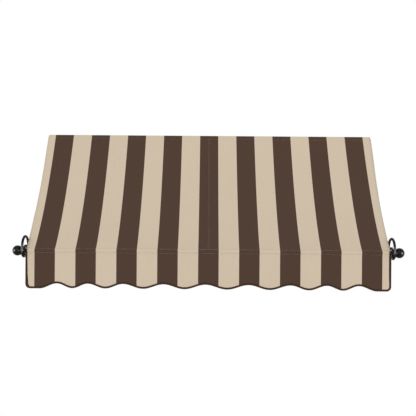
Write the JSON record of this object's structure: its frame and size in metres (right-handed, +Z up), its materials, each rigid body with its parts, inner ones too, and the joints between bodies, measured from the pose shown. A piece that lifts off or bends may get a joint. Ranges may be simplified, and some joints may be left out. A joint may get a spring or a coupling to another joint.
{
  "type": "window awning",
  "caption": "Fixed open-sided window awning: striped canvas sagging between two steel tubes, with a scalloped bound valance, forged scroll side arms and ball finials.",
  "frame": {"origin": "middle of the centre top bracket's back, on the wall, level with the top tube's axis", "axes": "+Y into the wall, front faces -Y, +Z up, +X along the tubes to the right seen from the front"},
  "size_m": [1.9492, 0.6742, 0.8136],
  "materials": {
    "striped_canvas": "woven canvas in broad brown and tan block stripes, matt",
    "brown_tape": "woven dark brown binding tape, matt",
    "black_paint": "black enamel on steel, satin",
    "black_plastic": "moulded, satin black",
    "dark_screw": "blackened screw steel"
  },
  "bodies": {
    "root": {"arm_left": "black_paint", "arm_right": "black_paint", "arm_wall_plate_left": "black_paint", "arm_wall_plate_left_lower_screw": "dark_screw", "arm_wall_plate_left_upper_screw": "dark_screw", "arm_wall_plate_right": "black_paint", "arm_wall_plate_right_lower_screw": "dark_screw", "arm_wall_plate_right_upper_screw": "dark_screw", "canopy_panel_left": "striped_canvas", "canopy_panel_right": "striped_canvas", "finial_left": "black_paint", "finial_right": "black_paint", "finial_set_screw_left": "dark_screw", "finial_set_screw_right": "dark_screw", "front_pocket_sleeve": "striped_canvas", "front_tube": "black_paint", "top_bracket_centre": "black_paint", "top_bracket_centre_clamp_screw": "dark_screw", "top_bracket_centre_lower_screw": "dark_screw", "top_bracket_centre_upper_screw": "dark_screw", "top_bracket_left": "black_paint", "top_bracket_left_clamp_screw": "dark_screw", "top_bracket_left_lower_screw": "dark_screw", "top_bracket_left_upper_screw": "dark_screw", "top_bracket_right": "black_paint", "top_bracket_right_clamp_screw": "dark_screw", "top_bracket_right_lower_screw": "dark_screw", "top_bracket_right_upper_screw": "dark_screw", "top_tube": "black_paint", "top_tube_plug_left": "black_plastic", "top_tube_plug_right": "black_plastic", "valance": "striped_canvas", "valance_binding": "brown_tape"}
  },
  "joints": []
}
